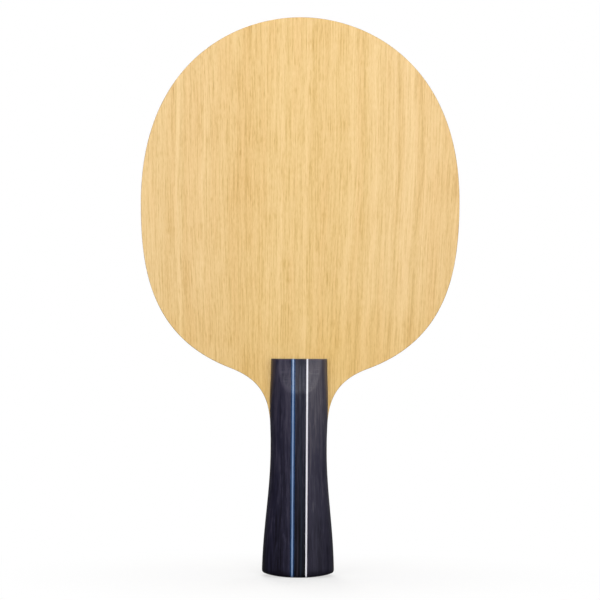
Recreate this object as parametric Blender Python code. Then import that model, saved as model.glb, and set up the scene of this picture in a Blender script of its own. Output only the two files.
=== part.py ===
"""Table tennis paddle with a bare blade and a flared handle.

The blade is seven wooden plies glued face to face. Each ply is cut to the whole outline, so its lower end, the
tang, runs right through the handle. On each side of the tang is a handle scale, made of seven strips of dyed
wood and veneer glued side by side.

Frame, in metres: +Z runs from the butt to the tip of the head, +X is to the right and -Y is towards whoever
looks at the front face. The origin is at the bottom of the butt, in the middle of its width and thickness.
"""

import math

import bmesh
import bpy

# The blade's outline.
TOTAL_LENGTH = 0.257
HEAD_WIDTH = 0.1465
WIDEST_HEIGHT = 0.172
SHOULDER_HALF_WIDTH = 0.0315
SHOULDER_HEIGHT = 0.0955
SHOULDER_SLOPE = math.radians(20.5)
TIP_ROUNDNESS = 0.031
UPPER_FULLNESS = 0.0635
LOWER_FULLNESS = 0.032
SHOULDER_REACH_OUT = 0.039
SHOULDER_REACH_IN = 0.0205
NECK_REACH = 0.017
OUTLINE_STEPS = 16

# The handle, seen from the front.
HANDLE_LENGTH = 0.100
WAIST_HEIGHT = 0.058
WAIST_HALF_WIDTH = 0.01295
BUTT_HALF_WIDTH = 0.0166
SCALE_SWELL = 0.0005
BUTT_CROWN_RADIUS = 0.078
BUTT_EDGE_RADIUS = 0.0015

# The handle, seen from the side. Depths are from the middle of the blade to the outer surface.
WAIST_HALF_DEPTH = 0.0111
BUTT_HALF_DEPTH = 0.0125
SCALE_TOP_HALF_DEPTH = 0.0089
THUMB_SLOPE_LENGTH = 0.0155
THUMB_SLOPE_HOLLOW = 0.6
SECTION_EXPONENT = 3.0

# The glued pieces. A pitch is a ply's share of the blade, with its glue line.
GLUE_LINE = 0.0001
FACE_VENEER_PITCH = 0.0006
INNER_PLY_PITCH = 0.0008
CORE_PITCH = 0.0016
RUBBER_LINE_HEIGHT = HANDLE_LENGTH + 0.001

# The strips of a handle scale, from its left edge to its right edge. Each one ends at a distance to the right
# of the handle's middle line, and the last one ends at the handle's right side.
BLUE_LINE_MIDDLE = -0.0027
BLUE_LINE_WIDTH = 0.0007
BLUE_BAND_WIDTH = 0.0019
WHITE_LINE_MIDDLE = 0.00375
WHITE_LINE_WIDTH = 0.0008

# How finely the scales are divided.
SIDE_STEPS = 9
CENTRE_STEPS = 4
VENEER_STEPS = 1
EDGE_ROUND_STEPS = 4
HANDLE_STEPS = 10
THUMB_STEPS = 8

# Linear colours of the woods, with their roughness.
FACE_WOOD = ((0.84, 0.58, 0.26, 1.0), 0.55)
INNER_WOOD = ((0.76, 0.55, 0.30, 1.0), 0.60)
CORE_WOOD = ((0.70, 0.52, 0.31, 1.0), 0.60)
DARK_WOOD = ((0.025, 0.023, 0.036, 1.0), 0.35)
DARK_BLUE_WOOD = ((0.020, 0.045, 0.105, 1.0), 0.35)
LIGHT_BLUE_WOOD = ((0.19, 0.29, 0.50, 1.0), 0.35)
WHITE_WOOD = ((0.78, 0.78, 0.84, 1.0), 0.35)


def clear_scene():
    for obj in list(bpy.data.objects):
        bpy.data.objects.remove(obj, do_unlink=True)


def new_collection(name):
    collection = bpy.data.collections.new(name)
    bpy.context.scene.collection.children.link(collection)
    return collection


def wood_material(name, wood):
    colour, roughness = wood
    material = bpy.data.materials.new(name)
    material.use_nodes = True
    shader = material.node_tree.nodes["Principled BSDF"]
    shader.inputs["Base Color"].default_value = colour
    shader.inputs["Roughness"].default_value = roughness
    shader.inputs["Metallic"].default_value = 0.0
    return material


# The handle's lines, as functions of the height above the butt.


def side_half_width(height):
    """Half the handle's width: a flare below the waist, and above it a slight swell that ends at the top."""
    if height < WAIST_HEIGHT:
        down = 1.0 - height / WAIST_HEIGHT
        return WAIST_HALF_WIDTH + (BUTT_HALF_WIDTH - WAIST_HALF_WIDTH) * (3 - 2 * down) * down**2
    up = (height - WAIST_HEIGHT) / (HANDLE_LENGTH - WAIST_HEIGHT)
    return WAIST_HALF_WIDTH + SCALE_SWELL * math.sin(math.pi * up) ** 2


def flare_gradient(height):
    """How fast the half width grows with the height, below the waist."""
    down = 1.0 - height / WAIST_HEIGHT
    return -(BUTT_HALF_WIDTH - WAIST_HALF_WIDTH) * 6 * down * (1 - down) / WAIST_HEIGHT


def crest_half_depth(height):
    """Half the handle's depth on its middle line, before the thumb slope is cut."""
    down = max(0.0, 1.0 - height / WAIST_HEIGHT)
    return WAIST_HALF_DEPTH + (BUTT_HALF_DEPTH - WAIST_HALF_DEPTH) * (3 - 2 * down) * down**2


def thumb_slope_depth(height):
    """Depth of the slightly hollow slope that is sanded across the top of each scale."""
    down = (HANDLE_LENGTH - height) / THUMB_SLOPE_LENGTH
    share = down * (1 - THUMB_SLOPE_HOLLOW) + THUMB_SLOPE_HOLLOW * down**2
    return SCALE_TOP_HALF_DEPTH + (WAIST_HALF_DEPTH - SCALE_TOP_HALF_DEPTH) * share


def crown_height(across):
    """Height of the domed butt at a distance from the middle line."""
    return BUTT_CROWN_RADIUS - math.sqrt(BUTT_CROWN_RADIUS**2 - across**2)


def edge_inset(height):
    """How far the rounded edge of the butt draws the surface in."""
    short = max(0.0, BUTT_EDGE_RADIUS - height)
    return BUTT_EDGE_RADIUS - math.sqrt(BUTT_EDGE_RADIUS**2 - short**2)


# The blade.


def arc_handle(radius, angle):
    """Length of a Bezier handle that makes an arc of this angle round."""
    return radius * 4 / 3 * math.tan(angle / 4)


def half_outline():
    """The knots of the right half from the butt to the tip, each with its handle before and its handle after."""
    corner_x = BUTT_HALF_WIDTH - BUTT_EDGE_RADIUS
    crown_angle = math.asin(corner_x / BUTT_CROWN_RADIUS)
    crown_reach = arc_handle(BUTT_CROWN_RADIUS, crown_angle)
    edge_reach = arc_handle(BUTT_EDGE_RADIUS, math.pi / 2)
    low = (corner_x, crown_height(corner_x))
    crown_dx = math.cos(crown_angle)
    crown_dz = math.sin(crown_angle)

    high_z = low[1] + BUTT_EDGE_RADIUS
    high = (side_half_width(high_z), high_z)
    flare_reach = (WAIST_HEIGHT - high_z) / 3
    flare_dx = flare_gradient(high_z)
    waist = (WAIST_HALF_WIDTH, WAIST_HEIGHT)

    shoulder = (SHOULDER_HALF_WIDTH, SHOULDER_HEIGHT)
    slope_dx = math.cos(SHOULDER_SLOPE)
    slope_dz = math.sin(SHOULDER_SLOPE)
    widest = (HEAD_WIDTH / 2, WIDEST_HEIGHT)

    def knot(point, before, after):
        handle_before = (point[0] - before[0], point[1] - before[1])
        handle_after = (point[0] + after[0], point[1] + after[1])
        return point, handle_before, handle_after

    return [
        knot((0.0, 0.0), (crown_reach, 0.0), (crown_reach, 0.0)),
        knot(low, (crown_reach * crown_dx, crown_reach * crown_dz), (edge_reach * crown_dx, edge_reach * crown_dz)),
        knot(high, (edge_reach * flare_dx, edge_reach), (flare_reach * flare_dx, flare_reach)),
        knot(waist, (0.0, flare_reach), (0.0, NECK_REACH)),
        knot(
            shoulder,
            (SHOULDER_REACH_IN * slope_dx, SHOULDER_REACH_IN * slope_dz),
            (SHOULDER_REACH_OUT * slope_dx, SHOULDER_REACH_OUT * slope_dz),
        ),
        knot(widest, (0.0, LOWER_FULLNESS), (0.0, UPPER_FULLNESS)),
        knot((0.0, TOTAL_LENGTH), (-TIP_ROUNDNESS, 0.0), (-TIP_ROUNDNESS, 0.0)),
    ]


def whole_outline():
    """The right half's knots, then the left half's as their mirror image, back down to the butt."""
    right = half_outline()
    left = []
    for point, before, after in reversed(right[1:-1]):
        left.append(tuple((-x, z) for x, z in (point, after, before)))
    return right + left


def outline_curve(name, thickness):
    """A flat closed curve of the blade's outline, thickened evenly to both sides of its plane."""
    curve = bpy.data.curves.new(name, "CURVE")
    curve.dimensions = "2D"
    curve.fill_mode = "BOTH"
    curve.resolution_u = OUTLINE_STEPS
    curve.extrude = thickness / 2
    spline = curve.splines.new("BEZIER")
    knots = whole_outline()
    spline.bezier_points.add(len(knots) - 1)
    for bezier, (point, before, after) in zip(spline.bezier_points, knots):
        bezier.handle_left_type = "FREE"
        bezier.handle_right_type = "FREE"
        bezier.co = (*point, 0.0)
        bezier.handle_left = (*before, 0.0)
        bezier.handle_right = (*after, 0.0)
    spline.use_cyclic_u = True
    return curve


def add_ply(name, thickness, middle_y, wood, collection):
    """One ply, cut to the outline and parted on its faces where a rubber sheet would end."""
    guide = bpy.data.objects.new(name + "_outline", outline_curve(name, thickness))
    collection.objects.link(guide)
    guide.rotation_euler = (math.pi / 2, 0.0, 0.0)
    guide.location = (0.0, middle_y, 0.0)
    bpy.context.view_layer.update()
    graph = bpy.context.evaluated_depsgraph_get()
    mesh = bpy.data.meshes.new_from_object(guide.evaluated_get(graph))
    mesh.name = name
    mesh.transform(guide.matrix_world)
    bpy.data.objects.remove(guide, do_unlink=True)

    edit = bmesh.new()
    edit.from_mesh(mesh)
    bmesh.ops.remove_doubles(edit, verts=edit.verts, dist=1e-6)
    everything = edit.verts[:] + edit.edges[:] + edit.faces[:]
    bmesh.ops.bisect_plane(edit, geom=everything, plane_co=(0, 0, RUBBER_LINE_HEIGHT), plane_no=(0, 0, 1))
    bmesh.ops.recalc_face_normals(edit, faces=edit.faces)
    edit.to_mesh(mesh)
    edit.free()

    ply = bpy.data.objects.new(name, mesh)
    ply.data.materials.clear()
    ply.data.materials.append(wood_material(name, wood))
    collection.objects.link(ply)
    return ply


def add_blade(collection):
    """The seven plies, from the front face to the back face."""
    plies = [
        ("front_face_veneer", FACE_VENEER_PITCH, FACE_WOOD),
        ("front_inner_ply", INNER_PLY_PITCH, INNER_WOOD),
        ("front_middle_ply", INNER_PLY_PITCH, INNER_WOOD),
        ("core_ply", CORE_PITCH, CORE_WOOD),
        ("back_middle_ply", INNER_PLY_PITCH, INNER_WOOD),
        ("back_inner_ply", INNER_PLY_PITCH, INNER_WOOD),
        ("back_face_veneer", FACE_VENEER_PITCH, FACE_WOOD),
    ]
    face_y = -blade_thickness() / 2
    for name, pitch, wood in plies:
        add_ply(name, pitch - GLUE_LINE, face_y + pitch / 2, wood, collection)
        face_y += pitch


def blade_thickness():
    return 2 * FACE_VENEER_PITCH + 4 * INNER_PLY_PITCH + CORE_PITCH


# The handle scales.


def outer_depth(across, height):
    """Depth of the scale's outer surface at a distance from the middle line."""
    inset = edge_inset(height)
    half_width = side_half_width(height) - inset
    half_depth = crest_half_depth(height) - inset
    share = min(1.0, abs(across) / half_width)
    rounded = half_depth * (1 - share**SECTION_EXPONENT) ** (1 / SECTION_EXPONENT)
    return min(rounded, thumb_slope_depth(height))


def side_reach(height, depth):
    """How far out the rounded side lies at this depth."""
    inset = edge_inset(height)
    half_width = side_half_width(height) - inset
    half_depth = crest_half_depth(height) - inset
    return half_width * (1 - (depth / half_depth) ** SECTION_EXPONENT) ** (1 / SECTION_EXPONENT)


def strip_section(height, glued_depth, low, high, steps):
    """A strip's section as (across, depth) points: its glued face first, then its outer surface.

    A limit of None is the handle's side, where the points are spaced by angle round the curve.
    """
    reach = side_reach(height, glued_depth)
    left = -reach if low is None else low
    right = reach if high is None else high
    outer = []
    for step in range(steps + 1):
        share = step / steps
        if high is None:
            across = left + (right - left) * math.sin(share * math.pi / 2)
        elif low is None:
            across = right + (left - right) * math.sin((1 - share) * math.pi / 2)
        else:
            across = left + (right - left) * share
        outer.append((across, max(glued_depth, outer_depth(across, height))))
    if high is None:
        outer.pop()
    if low is None:
        outer.pop(0)
    return [(right, glued_depth), (left, glued_depth)] + outer


def station_heights():
    """Heights of the lofted sections: close together round the butt's edge, then even up to the top."""
    heights = []
    for step in range(EDGE_ROUND_STEPS):
        turn = step / EDGE_ROUND_STEPS * math.pi / 2
        heights.append(BUTT_EDGE_RADIUS * (1 - math.cos(turn)))
    thumb_start = HANDLE_LENGTH - THUMB_SLOPE_LENGTH
    for step in range(HANDLE_STEPS):
        heights.append(BUTT_EDGE_RADIUS + (thumb_start - BUTT_EDGE_RADIUS) * step / HANDLE_STEPS)
    for step in range(THUMB_STEPS + 1):
        heights.append(thumb_start + THUMB_SLOPE_LENGTH * step / THUMB_STEPS)
    return heights


def lofted_mesh(name, sections):
    """A closed solid through sections with the same number of points, capped at both ends."""
    edit = bmesh.new()
    rings = [[edit.verts.new(point) for point in section] for section in sections]
    count = len(rings[0])
    for lower, upper in zip(rings, rings[1:]):
        for index in range(count):
            after = (index + 1) % count
            edit.faces.new((lower[index], lower[after], upper[after], upper[index]))
    edit.faces.new(rings[0])
    edit.faces.new(rings[-1])
    bmesh.ops.recalc_face_normals(edit, faces=edit.faces)
    mesh = bpy.data.meshes.new(name)
    edit.to_mesh(mesh)
    edit.free()
    return mesh


def add_strip(name, side, low, high, steps, wood, collection):
    """One strip of a scale. Side is -1 at the front and +1 at the back, where the scale is turned about +Z."""
    glued_depth = blade_thickness() / 2 + GLUE_LINE / 2
    sections = []
    for height in station_heights():
        section = []
        for across, depth in strip_section(height, glued_depth, low, high, steps):
            lift = crown_height(across) * (1 - height / HANDLE_LENGTH)
            section.append((-side * across, side * depth, height + lift))
        sections.append(section)
    mesh = lofted_mesh(name, sections)
    mesh.shade_smooth()
    mesh.set_sharp_from_angle(angle=math.radians(30))
    strip = bpy.data.objects.new(name, mesh)
    strip.data.materials.append(wood_material(name, wood))
    collection.objects.link(strip)
    return strip


def add_handle_scale(side_name, side, collection):
    """The seven strips of one scale, in order from its left edge to its right edge, with a glue line between."""
    blue_band_left = BLUE_LINE_MIDDLE - BLUE_BAND_WIDTH / 2
    blue_band_right = BLUE_LINE_MIDDLE + BLUE_BAND_WIDTH / 2
    blue_line_left = BLUE_LINE_MIDDLE - BLUE_LINE_WIDTH / 2
    blue_line_right = BLUE_LINE_MIDDLE + BLUE_LINE_WIDTH / 2
    white_left = WHITE_LINE_MIDDLE - WHITE_LINE_WIDTH / 2
    white_right = WHITE_LINE_MIDDLE + WHITE_LINE_WIDTH / 2
    strips = [
        ("left_block", None, blue_band_left, SIDE_STEPS, DARK_WOOD),
        ("left_dark_blue_veneer", blue_band_left, blue_line_left, VENEER_STEPS, DARK_BLUE_WOOD),
        ("light_blue_veneer", blue_line_left, blue_line_right, VENEER_STEPS, LIGHT_BLUE_WOOD),
        ("right_dark_blue_veneer", blue_line_right, blue_band_right, VENEER_STEPS, DARK_BLUE_WOOD),
        ("centre_strip", blue_band_right, white_left, CENTRE_STEPS, DARK_WOOD),
        ("white_veneer", white_left, white_right, VENEER_STEPS, WHITE_WOOD),
        ("right_block", white_right, None, SIDE_STEPS, DARK_WOOD),
    ]
    for name, low, high, steps, wood in strips:
        low_face = None if low is None else low + GLUE_LINE / 2
        high_face = None if high is None else high - GLUE_LINE / 2
        add_strip(f"{side_name}_{name}", side, low_face, high_face, steps, wood, collection)


def main():
    clear_scene()
    paddle = new_collection("table_tennis_paddle")
    add_blade(paddle)
    add_handle_scale("front", -1, paddle)
    add_handle_scale("back", 1, paddle)


main()
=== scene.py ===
"""Looks of the table tennis paddle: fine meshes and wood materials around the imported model.

Frame, in metres: +Z runs from the butt to the tip of the head, +X is to the right and -Y is towards
whoever looks at the front face. Distances called "across" are measured to the right, seen from the side
that a handle scale is on, and "depth" is the distance from the middle plane of the blade.
"""

import math

import bmesh
import bpy
from mathutils import Euler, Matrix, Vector


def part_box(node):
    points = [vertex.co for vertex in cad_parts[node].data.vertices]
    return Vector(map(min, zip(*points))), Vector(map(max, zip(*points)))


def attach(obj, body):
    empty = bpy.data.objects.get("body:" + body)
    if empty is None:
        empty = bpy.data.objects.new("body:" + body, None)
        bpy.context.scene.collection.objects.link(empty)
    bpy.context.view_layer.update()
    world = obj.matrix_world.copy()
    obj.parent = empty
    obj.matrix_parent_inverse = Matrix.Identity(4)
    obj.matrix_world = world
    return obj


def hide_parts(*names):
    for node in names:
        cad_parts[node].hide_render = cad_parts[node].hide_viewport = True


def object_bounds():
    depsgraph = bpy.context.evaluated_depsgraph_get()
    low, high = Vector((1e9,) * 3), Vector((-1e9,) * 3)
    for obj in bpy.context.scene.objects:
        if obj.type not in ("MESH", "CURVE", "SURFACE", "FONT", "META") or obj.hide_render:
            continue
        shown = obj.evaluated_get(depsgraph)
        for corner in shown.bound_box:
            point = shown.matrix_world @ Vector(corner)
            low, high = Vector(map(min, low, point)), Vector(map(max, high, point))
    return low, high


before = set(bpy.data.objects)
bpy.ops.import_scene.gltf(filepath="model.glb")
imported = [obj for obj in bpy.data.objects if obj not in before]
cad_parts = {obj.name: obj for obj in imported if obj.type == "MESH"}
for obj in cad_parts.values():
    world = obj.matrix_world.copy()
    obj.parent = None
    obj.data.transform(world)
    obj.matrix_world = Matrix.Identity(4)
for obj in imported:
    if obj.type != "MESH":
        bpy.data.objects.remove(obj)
CAD_LOW, CAD_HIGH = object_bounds()
BODY = "root"
MM = 0.001

# Driving sizes, read from the frame.
TOTAL_LENGTH = CAD_HIGH.z
HEAD_HALF_WIDTH = CAD_HIGH.x
BUTT_HALF_DEPTH = CAD_HIGH.y
HANDLE_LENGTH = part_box("front_centre_strip")[1].z
FACE_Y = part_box("front_face_veneer")[0].y
GLUE_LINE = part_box("front_inner_ply")[0].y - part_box("front_face_veneer")[1].y
BLADE_HALF_THICKNESS = -FACE_Y + GLUE_LINE / 2

# The blade's outline, as in the frame.
WIDEST_HEIGHT = 172 * MM
SHOULDER_HALF_WIDTH = 31.5 * MM
SHOULDER_HEIGHT = 95.5 * MM
SHOULDER_SLOPE = math.radians(20.5)
TIP_ROUNDNESS = 31 * MM
UPPER_FULLNESS = 63.5 * MM
LOWER_FULLNESS = 32 * MM
SHOULDER_REACH_OUT = 39 * MM
SHOULDER_REACH_IN = 20.5 * MM
NECK_REACH = 17 * MM
BUTT_CROWN_RADIUS = 78 * MM
BUTT_EDGE_RADIUS = 1.5 * MM

# The handle's lines, as in the frame.
WAIST_HEIGHT = 58 * MM
WAIST_HALF_WIDTH = 12.95 * MM
BUTT_HALF_WIDTH = 16.6 * MM
BUTT_CORNER = BUTT_HALF_WIDTH - BUTT_EDGE_RADIUS
SCALE_SWELL = 0.5 * MM
WAIST_HALF_DEPTH = 11.1 * MM
SCALE_TOP_HALF_DEPTH = 8.9 * MM
THUMB_SLOPE_LENGTH = 15.5 * MM
THUMB_SLOPE_HOLLOW = 0.6
SECTION_EXPONENT = 3.0

# Fine shape that only the looks have.
FACE_EDGE_RADIUS = 0.35 * MM
GLUE_GROOVE = 0.04 * MM
SCALE_TOP_EDGE_RADIUS = 0.3 * MM
SLOPE_BLEND = 0.35 * MM
FLUSH_UP_TO = 70 * MM
FLUSH_GONE_AT = 86 * MM
HAIRLINE = 0.005 * MM

# How finely the meshes are divided.
HEAD_STEPS = 72
NECK_STEPS = 36
FLARE_STEPS = 40
CROWN_STEPS = 14
EDGE_STEPS = 6
SIDE_STEPS = 30
CENTRE_STEPS = 12
VENEER_STEPS = 3
LONG_STEPS = 60
THUMB_STEPS = 36
PLY_SHARP_ANGLE = math.radians(40)
STRIP_SHARP_ANGLE = math.radians(35)

PLIES = (
    "front_face_veneer",
    "front_inner_ply",
    "front_middle_ply",
    "core_ply",
    "back_middle_ply",
    "back_inner_ply",
    "back_face_veneer",
)
STRIPS = (
    "left_block",
    "left_dark_blue_veneer",
    "light_blue_veneer",
    "right_dark_blue_veneer",
    "centre_strip",
    "white_veneer",
    "right_block",
)


# ---------------------------------------------------------------- the handle's lines


def smooth(share):
    """Eases a share from 0 to 1, level at both ends."""
    return (3 - 2 * share) * share * share


def side_half_width(height):
    """Half the handle's width: flared below the waist, and slightly swollen between the waist and the top."""
    if height < WAIST_HEIGHT:
        flare = BUTT_HALF_WIDTH - WAIST_HALF_WIDTH
        return WAIST_HALF_WIDTH + flare * smooth(1 - height / WAIST_HEIGHT)
    up = (height - WAIST_HEIGHT) / (HANDLE_LENGTH - WAIST_HEIGHT)
    return WAIST_HALF_WIDTH + SCALE_SWELL * math.sin(math.pi * up) ** 2


def crest_half_depth(height):
    """Half the handle's depth on its middle line, before the thumb slope is cut."""
    down = max(0.0, 1 - height / WAIST_HEIGHT)
    return WAIST_HALF_DEPTH + (BUTT_HALF_DEPTH - WAIST_HALF_DEPTH) * smooth(down)


def thumb_slope_depth(height):
    """Depth of the slightly hollow slope that is sanded across the top of each scale."""
    down = (HANDLE_LENGTH - height) / THUMB_SLOPE_LENGTH
    share = down * (1 - THUMB_SLOPE_HOLLOW) + THUMB_SLOPE_HOLLOW * down**2
    return SCALE_TOP_HALF_DEPTH + (WAIST_HALF_DEPTH - SCALE_TOP_HALF_DEPTH) * share


def crown_height(across):
    """Height of the domed butt at a distance from the middle line. Beyond the butt's corner it is level."""
    across = min(abs(across), BUTT_CORNER)
    return BUTT_CROWN_RADIUS - math.sqrt(BUTT_CROWN_RADIUS**2 - across**2)


def rounded_inset(distance, radius):
    """How far a rounded edge draws the surface in, at a distance from the end that it rounds."""
    short = min(radius, max(0.0, radius - distance))
    return radius - math.sqrt(radius**2 - short**2)


def end_inset(height):
    """How far the rounded edges at the butt and at the scale's top draw the surface in."""
    below_top = HANDLE_LENGTH - height
    return rounded_inset(height, BUTT_EDGE_RADIUS) + rounded_inset(below_top, SCALE_TOP_EDGE_RADIUS)


def softer_of(one, other):
    """The smaller of two depths, with the crease between them rounded."""
    share = min(1.0, max(0.0, 0.5 + 0.5 * (other - one) / SLOPE_BLEND))
    return other + (one - other) * share - SLOPE_BLEND * share * (1 - share)


def outer_depth(across, height):
    """Depth of the scale's outer surface at a distance from the middle line."""
    inset = end_inset(height)
    half_width = side_half_width(height) - inset
    half_depth = crest_half_depth(height) - inset
    share = min(1.0, abs(across) / half_width)
    rounded = half_depth * (1 - share**SECTION_EXPONENT) ** (1 / SECTION_EXPONENT)
    return softer_of(rounded, thumb_slope_depth(height) - inset)


def side_reach(height, depth):
    """How far out the handle's rounded side lies at this depth."""
    inset = end_inset(height)
    half_width = side_half_width(height) - inset
    half_depth = crest_half_depth(height) - inset
    return half_width * (1 - (depth / half_depth) ** SECTION_EXPONENT) ** (1 / SECTION_EXPONENT)


# ---------------------------------------------------------------- the blade


def bezier_points(start, out, back, end, steps):
    """Points along a Bezier curve, without its last one."""
    points = []
    for step in range(steps):
        t = step / steps
        u = 1 - t
        points.append(start * u**3 + out * 3 * u**2 * t + back * 3 * u * t**2 + end * t**3)
    return points


def right_outline():
    """The right half of the blade's outline from the butt to the tip, as (x, z) points."""
    crown_angle = math.asin(BUTT_CORNER / BUTT_CROWN_RADIUS)
    points = []
    for step in range(CROWN_STEPS):
        angle = crown_angle * step / CROWN_STEPS
        across = BUTT_CROWN_RADIUS * math.sin(angle)
        points.append(Vector((across, crown_height(across))))
    low = Vector((BUTT_CORNER, crown_height(BUTT_CORNER)))
    high_z = low.y + BUTT_EDGE_RADIUS
    high = Vector((side_half_width(high_z), high_z))
    reach = BUTT_EDGE_RADIUS * 4 / 3 * math.tan(math.pi / 8)
    along = Vector((math.cos(crown_angle), math.sin(crown_angle)))
    points += bezier_points(low, low + along * reach, high - Vector((0, reach)), high, EDGE_STEPS)
    for step in range(FLARE_STEPS):
        height = high_z + (WAIST_HEIGHT - high_z) * step / FLARE_STEPS
        points.append(Vector((side_half_width(height), height)))
    waist = Vector((WAIST_HALF_WIDTH, WAIST_HEIGHT))
    shoulder = Vector((SHOULDER_HALF_WIDTH, SHOULDER_HEIGHT))
    slope = Vector((math.cos(SHOULDER_SLOPE), math.sin(SHOULDER_SLOPE)))
    widest = Vector((HEAD_HALF_WIDTH, WIDEST_HEIGHT))
    tip = Vector((0, TOTAL_LENGTH))
    up = Vector((0, 1))
    right = Vector((1, 0))
    curves = (
        (waist, waist + up * NECK_REACH, shoulder - slope * SHOULDER_REACH_IN, shoulder, NECK_STEPS),
        (shoulder, shoulder + slope * SHOULDER_REACH_OUT, widest - up * LOWER_FULLNESS, widest, NECK_STEPS),
        (widest, widest + up * UPPER_FULLNESS, tip + right * TIP_ROUNDNESS, tip, HEAD_STEPS),
    )
    for curve in curves:
        points += bezier_points(*curve)
    points.append(tip)
    return points


def outward_normals(points):
    """For each point of the right half, the way out of the outline. The ends lie on the middle line."""
    second = points[1]
    last_but_one = points[-2]
    before_first = Vector((-second.x, second.y))
    after_last = Vector((-last_but_one.x, last_but_one.y))
    padded = [before_first] + points + [after_last]
    normals = []
    for before, after in zip(padded, padded[2:]):
        along = (after - before).normalized()
        normals.append(Vector((along.y, -along.x)))
    return normals


OUTLINE = right_outline()
OUTLINE_NORMALS = outward_normals(OUTLINE)


def section_share(height, depth):
    """How much narrower the handle's round section is at a depth than at its widest."""
    above_corner = max(height, BUTT_EDGE_RADIUS)
    return side_reach(above_corner, depth) / side_half_width(above_corner)


def outline_at(depth, inset):
    """(x, z) points of the outline's right half at a depth, drawn in by an edge's inset.

    The tang's sides are flush with the scales' round section up to the neck, and have no inset there.
    """
    points = []
    for point, normal in zip(OUTLINE, OUTLINE_NORMALS):
        flush = 0.0
        across = point.x
        if point.y < FLUSH_GONE_AT:
            flush = smooth(min(1.0, (FLUSH_GONE_AT - point.y) / (FLUSH_GONE_AT - FLUSH_UP_TO)))
            across *= 1 + flush * (section_share(point.y, abs(depth)) - 1)
        drawn_in = inset * (1 - flush)
        points.append((max(0.0, across - normal.x * drawn_in), point.y - normal.y * drawn_in))
    return points


def ply_profile(name):
    """(y, inset) pairs across a ply's edge: rounded at a face of the blade, grooved at its glue lines."""
    low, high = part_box(name)
    start = low.y - GLUE_LINE / 2 + HAIRLINE
    end = high.y + GLUE_LINE / 2 - HAIRLINE
    front_groove = [(start, GLUE_GROOVE), (start + GLUE_GROOVE, 0.0)]
    back_groove = [(end - GLUE_GROOVE, 0.0), (end, GLUE_GROOVE)]
    rounded = []
    for step in range(EDGE_STEPS + 1):
        turn = step / EDGE_STEPS * math.pi / 2
        rounded.append((FACE_EDGE_RADIUS * (1 - math.sin(turn)), FACE_EDGE_RADIUS * (1 - math.cos(turn))))
    if name == "front_face_veneer":
        return [(low.y + inward, inset) for inward, inset in reversed(rounded)] + back_groove
    if name == "back_face_veneer":
        return front_groove + [(high.y - inward, inset) for inward, inset in rounded]
    return front_groove + back_groove


def add_ply(name):
    """One ply: rings round its edge, and faces made of level rows that join the outline's two sides."""
    edit = bmesh.new()
    rings = []
    for y, inset in ply_profile(name):
        half = outline_at(y, inset)
        right = [edit.verts.new((x, y, z)) for x, z in half]
        left = [right[0]] + [edit.verts.new((-x, y, z)) for x, z in half[1:-1]] + [right[-1]]
        rings.append((right, left))
    for (right, left), (next_right, next_left) in zip(rings, rings[1:]):
        for near, far in ((right, next_right), (left, next_left)):
            for index in range(len(near) - 1):
                edit.faces.new((near[index], near[index + 1], far[index + 1], far[index]))
    for right, left in (rings[0], rings[-1]):
        edit.faces.new((right[0], right[1], left[1]))
        edit.faces.new((right[-1], right[-2], left[-2]))
        for index in range(1, len(right) - 2):
            edit.faces.new((right[index], right[index + 1], left[index + 1], left[index]))
    bmesh.ops.recalc_face_normals(edit, faces=edit.faces)
    return add_piece(name, edit, PLY_SHARP_ANGLE)


def add_piece(node, edit, sharp_angle):
    """Makes an object of the mesh, which stands for the CAD node in the render."""
    mesh = bpy.data.meshes.new(node + ".fine")
    edit.to_mesh(mesh)
    edit.free()
    mesh.shade_smooth()
    mesh.set_sharp_from_angle(angle=sharp_angle)
    piece = bpy.data.objects.new(node + ".fine", mesh)
    bpy.context.scene.collection.objects.link(piece)
    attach(piece, BODY)
    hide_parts(node)
    return piece


# ---------------------------------------------------------------- the handle scales


def station_heights():
    """Heights of the lofted sections: close together round both ends and along the thumb slope."""
    heights = []
    for step in range(EDGE_STEPS):
        turn = step / EDGE_STEPS * math.pi / 2
        heights.append(BUTT_EDGE_RADIUS * (1 - math.cos(turn)))
    thumb_start = HANDLE_LENGTH - THUMB_SLOPE_LENGTH
    for step in range(LONG_STEPS):
        heights.append(BUTT_EDGE_RADIUS + (thumb_start - BUTT_EDGE_RADIUS) * step / LONG_STEPS)
    top_start = HANDLE_LENGTH - SCALE_TOP_EDGE_RADIUS
    for step in range(THUMB_STEPS):
        heights.append(thumb_start + (top_start - thumb_start) * step / THUMB_STEPS)
    for step in range(EDGE_STEPS + 1):
        turn = step / EDGE_STEPS * math.pi / 2
        heights.append(top_start + SCALE_TOP_EDGE_RADIUS * math.sin(turn))
    return heights


def strip_limits(side_name, strip):
    """Where a strip starts and ends across the handle, or None where it ends at the handle's side."""
    low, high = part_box(f"{side_name}_{strip}")
    start, end = (low.x, high.x) if side_name == "front" else (-high.x, -low.x)
    spread = GLUE_LINE / 2 - HAIRLINE
    return (
        None if strip == STRIPS[0] else start - spread,
        None if strip == STRIPS[-1] else end + spread,
    )


def outer_acrosses(start, end, height, glued_depth, steps):
    """Where the points of a section's outer surface lie: evenly, or by angle towards the handle's side."""
    reach = side_reach(height, glued_depth)
    acrosses = []
    for step in range(steps + 1):
        share = step / steps
        if end is None:
            acrosses.append(start + (reach - start) * math.sin(share * math.pi / 2))
        elif start is None:
            acrosses.append(end - (reach + end) * math.sin((1 - share) * math.pi / 2))
        else:
            acrosses.append(start + (end - start) * share)
    return acrosses


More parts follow.
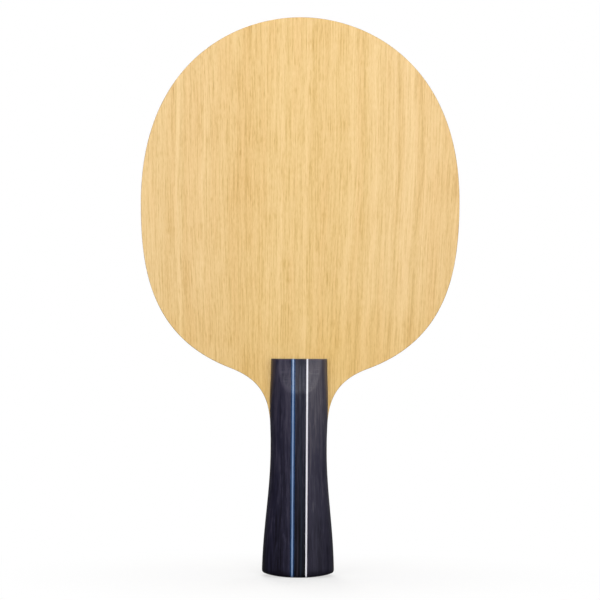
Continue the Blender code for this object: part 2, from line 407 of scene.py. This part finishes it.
def add_strip(side_name, side, strip, steps):
    """One strip of a scale. Side is -1 at the front and +1 at the back, where the scale is turned about."""
    start, end = strip_limits(side_name, strip)
    glued_depth = BLADE_HALF_THICKNESS - GLUE_LINE / 2 + HAIRLINE
    edit = bmesh.new()
    rings = []
    for height in station_heights():
        acrosses = outer_acrosses(start, end, height, glued_depth, steps)
        section = [(across, max(glued_depth, outer_depth(across, height))) for across in acrosses]
        if end is None:
            section[-1] = (acrosses[-1], glued_depth)
            section.append((start, glued_depth))
        elif start is None:
            section[0] = (acrosses[0], glued_depth)
            section.append((end, glued_depth))
        else:
            section += [(end, glued_depth), (start, glued_depth)]
        ring = []
        for across, depth in section:
            lift = crown_height(across) * (1 - height / HANDLE_LENGTH)
            ring.append(edit.verts.new((-side * across, side * depth, height + lift)))
        rings.append(ring)
    count = len(rings[0])
    for lower, upper in zip(rings, rings[1:]):
        for index in range(count):
            after = (index + 1) % count
            edit.faces.new((lower[index], lower[after], upper[after], upper[index]))
    edit.faces.new(rings[0])
    edit.faces.new(rings[-1])
    bmesh.ops.recalc_face_normals(edit, faces=edit.faces)
    return add_piece(f"{side_name}_{strip}", edit, STRIP_SHARP_ANGLE)


# ---------------------------------------------------------------- materials


class Graph:
    """A material's node tree, with a short call for each kind of node."""

    def __init__(self, name):
        self.material = bpy.data.materials.new(name)
        self.material.use_nodes = True
        self.tree = self.material.node_tree
        self.shader = self.tree.nodes["Principled BSDF"]
        self.surface = self.tree.nodes["Material Output"].inputs["Surface"]
        coordinates = self.add("ShaderNodeTexCoord")
        self.position = coordinates.outputs["Object"]
        self.normal = coordinates.outputs["Normal"]

    def add(self, kind, **settings):
        node = self.tree.nodes.new(kind)
        for name, value in settings.items():
            setattr(node, name, value)
        return node

    def put(self, socket, value):
        """Links an output to a socket, or sets the socket to a plain value."""
        if isinstance(value, bpy.types.NodeSocket):
            self.tree.links.new(value, socket)
        else:
            socket.default_value = value

    def math(self, operation, first, second=0.0, third=0.0):
        node = self.add("ShaderNodeMath", operation=operation)
        for socket, value in zip(node.inputs, (first, second, third)):
            self.put(socket, value)
        return node.outputs[0]

    def vector(self, operation, first, second, third=(0.0, 0.0, 0.0)):
        node = self.add("ShaderNodeVectorMath", operation=operation)
        for socket, value in zip(node.inputs, (first, second, third)):
            self.put(socket, value)
        return node.outputs[0]

    def parts(self, vector):
        node = self.add("ShaderNodeSeparateXYZ")
        self.put(node.inputs[0], vector)
        return node.outputs

    def joined(self, x, y, z):
        node = self.add("ShaderNodeCombineXYZ")
        for socket, value in zip(node.inputs, (x, y, z)):
            self.put(socket, value)
        return node.outputs[0]

    def noise(self, position, per_metre, offset=(0.0, 0.0, 0.0), detail=2.0, roughness=0.5):
        """Noise that repeats about per_metre times along each axis. Its values lie round 0.5."""
        node = self.add("ShaderNodeTexNoise")
        self.put(node.inputs["Vector"], self.vector("MULTIPLY_ADD", position, per_metre, offset))
        node.inputs["Scale"].default_value = 1.0
        node.inputs["Detail"].default_value = detail
        node.inputs["Roughness"].default_value = roughness
        return node.outputs["Fac"]

    def span(self, value, start, end, low=0.0, high=1.0):
        """Maps start..end to low..high smoothly, and holds beyond them."""
        node = self.add("ShaderNodeMapRange", interpolation_type="SMOOTHSTEP")
        for socket, number in zip(node.inputs, (value, start, end, low, high)):
            self.put(socket, number)
        return node.outputs[0]

    def ramp(self, value, stops):
        """A colour for a value from 0 to 1, from (place, sRGB colour out of 255) stops."""
        node = self.add("ShaderNodeValToRGB")
        elements = node.color_ramp.elements
        while len(elements) < len(stops):
            elements.new(1.0)
        for element, (place, colour) in zip(elements, stops):
            element.position = place
            element.color = solid(colour)
        self.put(node.inputs[0], value)
        return node.outputs["Color"]

    def mix(self, share, first, second, blend="MIX"):
        node = self.add("ShaderNodeMix", data_type="RGBA", blend_type=blend)
        self.put(node.inputs["Factor"], share)
        colour_inputs = [socket for socket in node.inputs if socket.type == "RGBA"]
        for socket, value in zip(colour_inputs, (first, second)):
            self.put(socket, value)
        return [socket for socket in node.outputs if socket.type == "RGBA"][0]

    def bump(self, height, strength, distance):
        node = self.add("ShaderNodeBump")
        self.put(node.inputs["Height"], height)
        node.inputs["Strength"].default_value = strength
        node.inputs["Distance"].default_value = distance
        self.put(self.shader.inputs["Normal"], node.outputs["Normal"])

    def finish(self, colour, roughness, **constants):
        self.put(self.shader.inputs["Base Color"], colour)
        self.put(self.shader.inputs["Roughness"], roughness)
        for name, value in constants.items():
            self.shader.inputs[name.replace("_", " ")].default_value = value
        return self.material


def solid(colour):
    """A linear colour with full alpha, from an sRGB one out of 255."""
    return (*linear(colour), 1.0)


def linear(colour):
    """A linear colour from an sRGB one out of 255."""
    channels = []
    for channel in colour:
        share = channel / 255
        channels.append(share / 12.92 if share <= 0.04045 else ((share + 0.055) / 1.055) ** 2.4)
    return channels


def weighted(graph, *terms):
    """0.5 plus each signal's distance from its middle value, times its weight."""
    total = 0.5
    for signal, middle, weight in terms:
        away = graph.math("SUBTRACT", signal, middle)
        total = graph.math("ADD", graph.math("MULTIPLY", away, weight), total)
    return total


WIDE_SWAY_PER_METRE = (11, 11, 8)
NARROW_SWAY_PER_METRE = (48, 48, 26)


def grain_position(graph, offset, wide_sway, narrow_sway):
    """Object position with its X swayed, so that vertical grain wanders a little."""
    wide = graph.noise(graph.position, WIDE_SWAY_PER_METRE, offset, detail=1)
    narrow = graph.noise(graph.position, NARROW_SWAY_PER_METRE, offset, detail=1)
    wide_part = graph.math("MULTIPLY", graph.math("SUBTRACT", wide, 0.5), wide_sway)
    narrow_part = graph.math("MULTIPLY", graph.math("SUBTRACT", narrow, 0.5), narrow_sway)
    sway = graph.math("ADD", wide_part, narrow_part)
    return graph.vector("ADD", graph.position, graph.joined(sway, 0.0, 0.0))


def fanned(graph, place):
    """The same place with the grain drawn together towards the handle."""
    x, y, z = graph.parts(place)
    spread = graph.math("MULTIPLY_ADD", graph.math("SUBTRACT", z, WIDEST_HEIGHT), GRAIN_FAN, 1.0)
    return graph.joined(graph.math("DIVIDE", x, spread), y, z)


FACE_TONES = (
    (0.00, (194, 145, 74)),
    (0.30, (219, 178, 107)),
    (0.50, (233, 197, 132)),
    (0.70, (242, 209, 148)),
    (1.00, (249, 221, 167)),
)
# Painted shade: the face veneer is multiplied by this tint towards the handle.
LOWER_SHADE_TINT = (251, 246, 226)
SAPWOOD_PALENESS = (0.010, 0.014, 0.026, 1.0)
BLUSH_TINT = (254, 250, 247)
VENEER_EDGE_TONE = (196, 150, 92)
GLUE_TONE = (150, 106, 62)
GLUE_SHADOW = 0.11 * MM
GRAIN_FAN = 0.75
GROWTH_STRENGTH = 0.13
BARE_WOOD_SPECULAR = 0.3
# Where each of these starts and where it is full: heights, distances from the middle, and squareness to Y.
LOWER_SHADE_BETWEEN = (145 * MM, 85 * MM)
SAPWOOD_BETWEEN = (14 * MM, 52 * MM)
EDGE_TONE_BETWEEN = (0.98, 0.60)
# Growth lines of the face veneer: millimetres from the middle, and how pale (1) or dark (-1) it is there.
GROWTH_LINES = (
    (-74, 0.0),
    (-60, 0.0),
    (-57.8, -0.5),
    (-56.2, 0.9),
    (-54.2, -0.2),
    (-46, 0.0),
    (-44, 0.5),
    (-42, 0.0),
    (-27, -0.3),
    (-10, 0.0),
    (-8.6, 0.5),
    (-7, -0.4),
    (-4, 0.0),
    (0.5, 0.0),
    (2.4, 0.8),
    (4.2, -0.4),
    (9, 0.0),
    (20, 0.0),
    (21.8, 0.6),
    (26, 0.0),
    (28.6, -0.8),
    (30.4, 0.1),
    (33.4, 0.8),
    (36.8, -0.5),
    (38.4, 0.1),
    (42.4, 0.3),
    (44.0, -1.0),
    (45.6, 0.2),
    (49.4, 0.7),
    (53.6, -1.0),
    (55.4, 0.1),
    (66, -0.3),
)


def growth_tone(graph, x):
    """Growth lines across the veneer, as a tone above or below zero."""
    first, last = GROWTH_LINES[0][0], GROWTH_LINES[-1][0]
    node = graph.add("ShaderNodeValToRGB")
    node.color_ramp.interpolation = "EASE"
    elements = node.color_ramp.elements
    while len(elements) < len(GROWTH_LINES):
        elements.new(1.0)
    for element, (place, tone) in zip(elements, GROWTH_LINES):
        element.position = (place - first) / (last - first)
        element.color = (0.5 + tone / 2, 0.5 + tone / 2, 0.5 + tone / 2, 1.0)
    share = graph.math("MULTIPLY_ADD", x, 1 / ((last - first) * MM), -first / (last - first))
    graph.put(node.inputs[0], share)
    return graph.math("MULTIPLY_ADD", node.outputs["Color"], 2 * GROWTH_STRENGTH, -GROWTH_STRENGTH)


def face_veneer_material(name, offset, turned):
    """Pale gold veneer: fine vertical hairs, short dark pores, soft bands and wavier growth lines.

    It is paler towards the sides, and has painted shade near the handle, slightly darker and yellower.
    """
    graph = Graph(name)
    place = fanned(graph, grain_position(graph, offset, 3 * MM, 0.8 * MM))
    wavy_place = fanned(graph, grain_position(graph, offset, 7 * MM, 3.2 * MM))
    x, _, z = graph.parts(wavy_place)
    side_x = graph.math("MULTIPLY", x, -1.0 if turned else 1.0)
    bands = graph.noise(place, (160, 20, 4), offset, detail=2)
    streaks = graph.noise(place, (1300, 400, 12), offset, detail=2, roughness=0.6)
    hairs = graph.noise(place, (1750, 600, 45), offset[::-1], detail=2, roughness=0.6)
    dark_hairs = graph.span(hairs, 0.50, 0.38)
    specks = graph.noise(place, (2600, 900, 400), offset, detail=1)
    pore_field = graph.noise(place, (1800, 600, 140), offset[::-1], detail=1)
    pore_patches = graph.noise(place, (70, 20, 22), offset, detail=1)
    pores = graph.math("ADD", pore_field, graph.math("MULTIPLY", pore_patches, 0.15))
    fewer_pores = graph.span(side_x, 10 * MM, 35 * MM, 1.0, 0.5)
    pores = graph.math("MULTIPLY", graph.span(pores, 0.66, 0.80), fewer_pores)
    tone = weighted(
        graph,
        (bands, 0.5, 0.10),
        (streaks, 0.5, 0.34),
        (hairs, 0.5, 0.34),
        (dark_hairs, 0.3, -0.12),
        (specks, 0.5, 0.42),
        (pores, 0.08, -0.18),
        (growth_tone(graph, side_x), 0.0, 1.0),
    )
    colour = graph.ramp(tone, FACE_TONES)
    # Painted shade: darker and yellower towards the handle, in soft patches.
    clouds = graph.noise(graph.position, (28, 28, 18), offset, detail=2)
    lower_shade = graph.span(z, *LOWER_SHADE_BETWEEN)
    painted_light_share = graph.math("MULTIPLY", lower_shade, graph.span(clouds, 0.25, 0.65, 0.35, 1.0))
    colour = graph.mix(painted_light_share, colour, solid(LOWER_SHADE_TINT), blend="MULTIPLY")
    sapwood = graph.span(graph.math("ABSOLUTE", x), *SAPWOOD_BETWEEN)
    colour = graph.mix(sapwood, colour, SAPWOOD_PALENESS, blend="ADD")
    blush = graph.noise(place, (260, 60, 14), offset[::-1], detail=2)
    blushing = graph.span(blush, 0.42, 0.66, 0.0, 0.6)
    colour = graph.mix(blushing, colour, solid(BLUSH_TINT), blend="MULTIPLY")
    facing = graph.math("ABSOLUTE", graph.parts(graph.normal)[1])
    colour = graph.mix(graph.span(facing, *EDGE_TONE_BETWEEN), colour, solid(VENEER_EDGE_TONE))
    graph.bump(graph.math("SUBTRACT", streaks, graph.math("MULTIPLY", pores, 0.8)), 0.25, 0.12 * MM)
    roughness = graph.math("ADD", graph.math("MULTIPLY", hairs, 0.2), 0.44)
    return graph.finish(colour, roughness, Specular_IOR_Level=BARE_WOOD_SPECULAR)


def inner_ply_material(name, offset, tones, cross_grain, middle, half):
    """Sanded edge of a ply: streaks and fibres along its grain, soft clouds, and darker glue lines."""
    graph = Graph(name)
    long_way = (30, 900, 900) if cross_grain else (900, 900, 30)
    fine_way = (110, 2600, 2600) if cross_grain else (2600, 2600, 110)
    streaks = graph.noise(graph.position, long_way, offset, detail=3, roughness=0.6)
    fibres = graph.noise(graph.position, fine_way, offset, detail=2)
    clouds = graph.noise(graph.position, (35, 35, 35), offset, detail=2)
    tone = weighted(graph, (streaks, 0.5, 0.9), (fibres, 0.5, 0.6), (clouds, 0.5, 0.5))
    colour = graph.ramp(tone, tones)
    y = graph.parts(graph.position)[1]
    away = graph.math("ABSOLUTE", graph.math("SUBTRACT", y, middle))
    colour = graph.mix(graph.span(away, half - GLUE_SHADOW, half), colour, solid(GLUE_TONE))
    graph.bump(graph.math("ADD", streaks, fibres), 0.35, 0.10 * MM)
    roughness = graph.math("ADD", graph.math("MULTIPLY", fibres, 0.25), 0.52)
    return graph.finish(colour, roughness, Specular_IOR_Level=BARE_WOOD_SPECULAR)


LACQUER_SPECULAR = 0.15
# Painted shade: heights where the darker band round the butt starts and where it is full.
BUTT_SHADE_BETWEEN = (4.5 * MM, 0.5 * MM)
ACCENT_BETWEEN = (0.5 * MM, 0.15 * MM)
# How far a surface faces up where the painted highlights on the thumb slope and its lower edge come in, and
# where they go out.
SLOPE_IN = (0.06, 0.13)
SLOPE_OUT = (0.6, 0.4)
SLOPE_EDGE_IN = (0.05, 0.07)
SLOPE_EDGE_OUT = (0.14, 0.11)


def thumb_slope_highlights(graph):
    """Two masks for painted highlights, by how far the surface faces up: the thumb slopes of the handle, and
    their lower edge.
    """
    up = graph.parts(graph.normal)[2]
    slope = graph.math("MULTIPLY", graph.span(up, *SLOPE_IN), graph.span(up, *SLOPE_OUT))
    edge = graph.math("MULTIPLY", graph.span(up, *SLOPE_EDGE_IN), graph.span(up, *SLOPE_EDGE_OUT))
    return slope, edge


def dyed_wood_material(name, offset, side, tones, grain_and_highlight, painted_shade, accents):
    """Dyed and lacquered wood with a satin gloss: vertical fibres, pale flecks and painted highlights on the
    thumb slopes.

    Grain and highlight is the strength of the grain and of the painted highlights on the thumb slopes, and
    painted shade is how much the wood is painted lighter at the top and darker down to the butt, with a
    darker band at the butt. Accents are thin lines of another tone, each given as its distance across and its
    colour.
    """
    graph = Graph(name)
    place = grain_position(graph, offset, 3 * MM, 0.9 * MM)
    x, _, z = graph.parts(place)
    bands = graph.noise(place, (330, 330, 9), offset, detail=2)
    streaks = graph.noise(place, (900, 900, 30), offset, detail=3, roughness=0.62)
    fleck_field = graph.noise(place, (1500, 1500, 170), offset[::-1], detail=1)
    flecks = graph.span(fleck_field, 0.57, 0.68)
    fibres = graph.noise(place, (1400, 1400, 85), offset, detail=2, roughness=0.6)
    # Painted highlights where the thumb slopes and their lower edge face up.
    slope, slope_edge = thumb_slope_highlights(graph)
    scratch_field = graph.noise(graph.position, (90, 90, 1100), offset, detail=2)
    scratches = graph.span(scratch_field, 0.50, 0.68)
    # Painted highlight on the thumb slopes, varied by sanding scratches.
    painted_light_share = graph.math("MULTIPLY", slope, graph.math("ADD", scratches, 0.5))
    tone = weighted(
        graph,
        (bands, 0.5, 0.9 * grain_and_highlight),
        (streaks, 0.5, 0.8 * grain_and_highlight),
        (fibres, 0.5, 1.0 * grain_and_highlight),
        (flecks, 0.1, 0.16 * grain_and_highlight),
        # Painted shade: lighter towards the top of the handle and darker down to the butt.
        (graph.span(z, 0.0, HANDLE_LENGTH), 0.5, 0.50 * painted_shade),
        # Painted highlights: the thumb slopes, and the line along their lower edge.
        (painted_light_share, 0.0, 0.22 * grain_and_highlight),
        (slope_edge, 0.0, 0.09 * grain_and_highlight),
        # Painted shade: a darker band round the bottom of the butt.
        (graph.span(z, *BUTT_SHADE_BETWEEN), 0.0, -0.35 * painted_shade),
    )
    colour = graph.ramp(tone, tones)
    for place_across, accent in accents:
        away = graph.math("ABSOLUTE", graph.math("ADD", x, side * place_across))
        patchy = graph.span(streaks, 0.30, 0.60, 0.2, 0.9)
        share = graph.math("MULTIPLY", graph.span(away, *ACCENT_BETWEEN), patchy)
        colour = graph.mix(share, colour, solid(accent))
    graph.bump(graph.math("ADD", streaks, graph.math("MULTIPLY", flecks, 0.5)), 0.20, 0.10 * MM)
    roughness = graph.math("ADD", graph.math("MULTIPLY", streaks, 0.25), 0.25)
    return graph.finish(colour, roughness, Specular_IOR_Level=LACQUER_SPECULAR)


PALE_PLY_TONES = ((0.0, (196, 158, 104)), (0.5, (228, 199, 150)), (1.0, (244, 223, 184)))
BROWN_PLY_TONES = ((0.0, (168, 124, 76)), (0.5, (204, 166, 114)), (1.0, (228, 196, 148)))
CORE_TONES = ((0.0, (186, 148, 98)), (0.5, (220, 190, 142)), (1.0, (240, 218, 178)))
LEFT_BLOCK_TONES = ((0.0, (13, 10, 22)), (0.5, (34, 32, 50)), (1.0, (64, 60, 76)))
RIGHT_BLOCK_TONES = ((0.0, (24, 22, 34)), (0.5, (53, 51, 66)), (1.0, (98, 94, 101)))
CENTRE_TONES = ((0.0, (7, 8, 15)), (0.5, (26, 27, 41)), (1.0, (58, 58, 71)))
DARK_BLUE_TONES = ((0.0, (10, 28, 52)), (0.5, (24, 52, 88)), (1.0, (52, 88, 134)))
LIGHT_BLUE_TONES = ((0.0, (98, 124, 162)), (0.5, (132, 156, 194)), (1.0, (172, 190, 216)))
WHITE_TONES = ((0.0, (196, 194, 200)), (0.5, (228, 227, 235)), (1.0, (244, 244, 249)))
CENTRE_ACCENTS = ((-0.4 * MM, (44, 40, 50)), (1.2 * MM, (28, 36, 50)))
# For each strip of a scale: tones, strength of the grain and painted slope highlights, strength of the
# painted shade down to the butt, and accents.
STRIP_LOOKS = {
    "left_block": (LEFT_BLOCK_TONES, 1.1, 1.0, ()),
    "left_dark_blue_veneer": (DARK_BLUE_TONES, 0.6, 0.5, ()),
    "light_blue_veneer": (LIGHT_BLUE_TONES, 0.5, 0.5, ()),
    "right_dark_blue_veneer": (DARK_BLUE_TONES, 0.6, 0.5, ()),
    "centre_strip": (CENTRE_TONES, 0.9, 1.0, CENTRE_ACCENTS),
    "white_veneer": (WHITE_TONES, 0.4, 0.4, ()),
    "right_block": (RIGHT_BLOCK_TONES, 0.55, 1.05, ()),
}
WIDE_STRIP_STEPS = {"left_block": SIDE_STEPS, "centre_strip": CENTRE_STEPS, "right_block": SIDE_STEPS}
# For each ply between the face veneers: tones, and whether its grain runs across the blade.
PLY_LOOKS = {
    "front_inner_ply": (PALE_PLY_TONES, True),
    "front_middle_ply": (BROWN_PLY_TONES, False),
    "core_ply": (CORE_TONES, False),
    "back_middle_ply": (BROWN_PLY_TONES, False),
    "back_inner_ply": (PALE_PLY_TONES, True),
}


def grain_offset(index):
    """A different place in the noise for each piece of wood."""
    return (3.7 * index + 0.31, 5.3 * index + 1.7, 2.9 * index + 4.1)


def make_blade():
    for index, name in enumerate(PLIES):
        ply = add_ply(name)
        offset = grain_offset(index)
        if name in PLY_LOOKS:
            tones, cross_grain = PLY_LOOKS[name]
            low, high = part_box(name)
            middle = (low.y + high.y) / 2
            half = (high.y - low.y + GLUE_LINE) / 2
            material = inner_ply_material(name + "_wood", offset, tones, cross_grain, middle, half)
        else:
            material = face_veneer_material(name + "_wood", offset, name.startswith("back"))
        ply.data.materials.append(material)


def make_handle():
    for side_name, side, first in (("front", -1, 10), ("back", 1, 20)):
        for index, strip in enumerate(STRIPS):
            piece = add_strip(side_name, side, strip, WIDE_STRIP_STEPS.get(strip, VENEER_STEPS))
            name = f"{side_name}_{strip}_wood"
            offset = grain_offset(first + index)
            piece.data.materials.append(dyed_wood_material(name, offset, side, *STRIP_LOOKS[strip]))


# ---------------------------------------------------------------- the studio

CAMERA_LENS_MM = 200
SENSOR_MM = 36
VIEW_HEIGHT = 276.3 * MM
VIEW_MIDDLE = Vector((0.2 * MM, 0.0, 127.0 * MM))
CAMERA_ROLL = math.radians(-0.35)
DOME_RADIUS = 8.0
FLOOR_PAINT = (0.92, 0.92, 0.92, 1.0)
FLOOR_WHITE_SHARE = 0.6
FLOOR_WHITE_FROM = 0.16
WORLD_STRENGTH = 0.14
# The softboxes of each side: metres to the right of it, away and up, size, watts, and whether it glints.
SOFTBOXES = (
    ("key", (0.95, 1.35, 0.25), 0.9, 8.3, False),
    ("fill", (-0.95, 1.35, 0.20), 0.9, 6.9, False),
    ("high", (-0.35, 1.80, 1.65), 1.4, 13.2, True),
    ("sheen", (0.20, 1.20, 0.65), 0.3, 6.0, True),
)
TOP_SOFTBOX = ("top", (0.0, 0.0, 1.6), 1.0, 3.0, True)


def make_camera():
    """A long lens square to the front face, rolled a little, as the blade leans in the picture."""
    data = bpy.data.cameras.new("camera")
    data.lens = CAMERA_LENS_MM
    data.sensor_width = SENSOR_MM
    data.clip_end = 3 * DOME_RADIUS
    camera = bpy.data.objects.new("camera", data)
    bpy.context.scene.collection.objects.link(camera)
    distance = VIEW_HEIGHT * CAMERA_LENS_MM / SENSOR_MM
    camera.location = VIEW_MIDDLE + Vector((0.0, -distance, 0.0))
    camera.rotation_euler = Euler((math.pi / 2, CAMERA_ROLL, 0.0))
    bpy.context.scene.camera = camera


def add_softbox(name, place, size, power, glossy):
    """A square softbox that faces the middle of the paddle. Unless it is glossy, it adds no highlights."""
    data = bpy.data.lights.new(name, "AREA")
    data.shape = "SQUARE"
    data.size = size
    data.energy = power
    light = bpy.data.objects.new(name, data)
    bpy.context.scene.collection.objects.link(light)
    light.location = place
    towards = Vector((0.0, 0.0, TOTAL_LENGTH / 2)) - Vector(place)
    light.rotation_euler = towards.to_track_quat("-Z", "Y").to_euler()
    light.visible_glossy = glossy


def make_lights():
    for side_name, side in (("front", -1), ("back", 1)):
        for kind, (right, away, up), size, power, glossy in SOFTBOXES:
            place = (-side * right, side * away, up)
            add_softbox(f"{side_name}_{kind}", place, size, power, glossy)
    add_softbox(*TOP_SOFTBOX)
    world = bpy.data.worlds.new("studio")
    world.use_nodes = True
    background = world.node_tree.nodes["Background"]
    background.inputs["Color"].default_value = (1.0, 1.0, 1.0, 1.0)
    background.inputs["Strength"].default_value = WORLD_STRENGTH
    bpy.context.scene.world = world


def make_floor():
    """A pale round floor that turns plain white away from the paddle."""
    bpy.ops.mesh.primitive_circle_add(vertices=128, radius=DOME_RADIUS, fill_type="NGON")
    floor = bpy.context.object
    floor.name = "floor"
    graph = Graph("floor_paint")
    distance = graph.add("ShaderNodeVectorMath", operation="LENGTH")
    graph.put(distance.inputs[0], graph.position)
    emission = graph.add("ShaderNodeEmission")
    blend = graph.add("ShaderNodeMixShader")
    white_share = graph.span(distance.outputs["Value"], 0.0, FLOOR_WHITE_FROM, FLOOR_WHITE_SHARE, 1.0)
    graph.put(blend.inputs[0], white_share)
    graph.put(blend.inputs[1], graph.shader.outputs[0])
    graph.put(blend.inputs[2], emission.outputs[0])
    graph.put(graph.surface, blend.outputs[0])
    floor.data.materials.append(graph.finish(FLOOR_PAINT, 0.9, Specular_IOR_Level=0.1))
    floor.visible_diffuse = False
    floor.visible_glossy = False


def make_dome():
    """A plain white surround that only the camera sees."""
    bpy.ops.mesh.primitive_uv_sphere_add(segments=64, ring_count=32, radius=DOME_RADIUS * 1.01)
    dome = bpy.context.object
    dome.name = "dome"
    graph = Graph("dome_white")
    emission = graph.add("ShaderNodeEmission")
    graph.put(graph.surface, emission.outputs[0])
    dome.data.materials.append(graph.material)
    dome.visible_diffuse = False
    dome.visible_glossy = False
    dome.visible_transmission = False
    dome.visible_shadow = False


def make_studio():
    make_camera()
    make_lights()
    make_floor()
    make_dome()
    bpy.context.scene.view_settings.view_transform = "Standard"


make_blade()
make_handle()
make_studio()
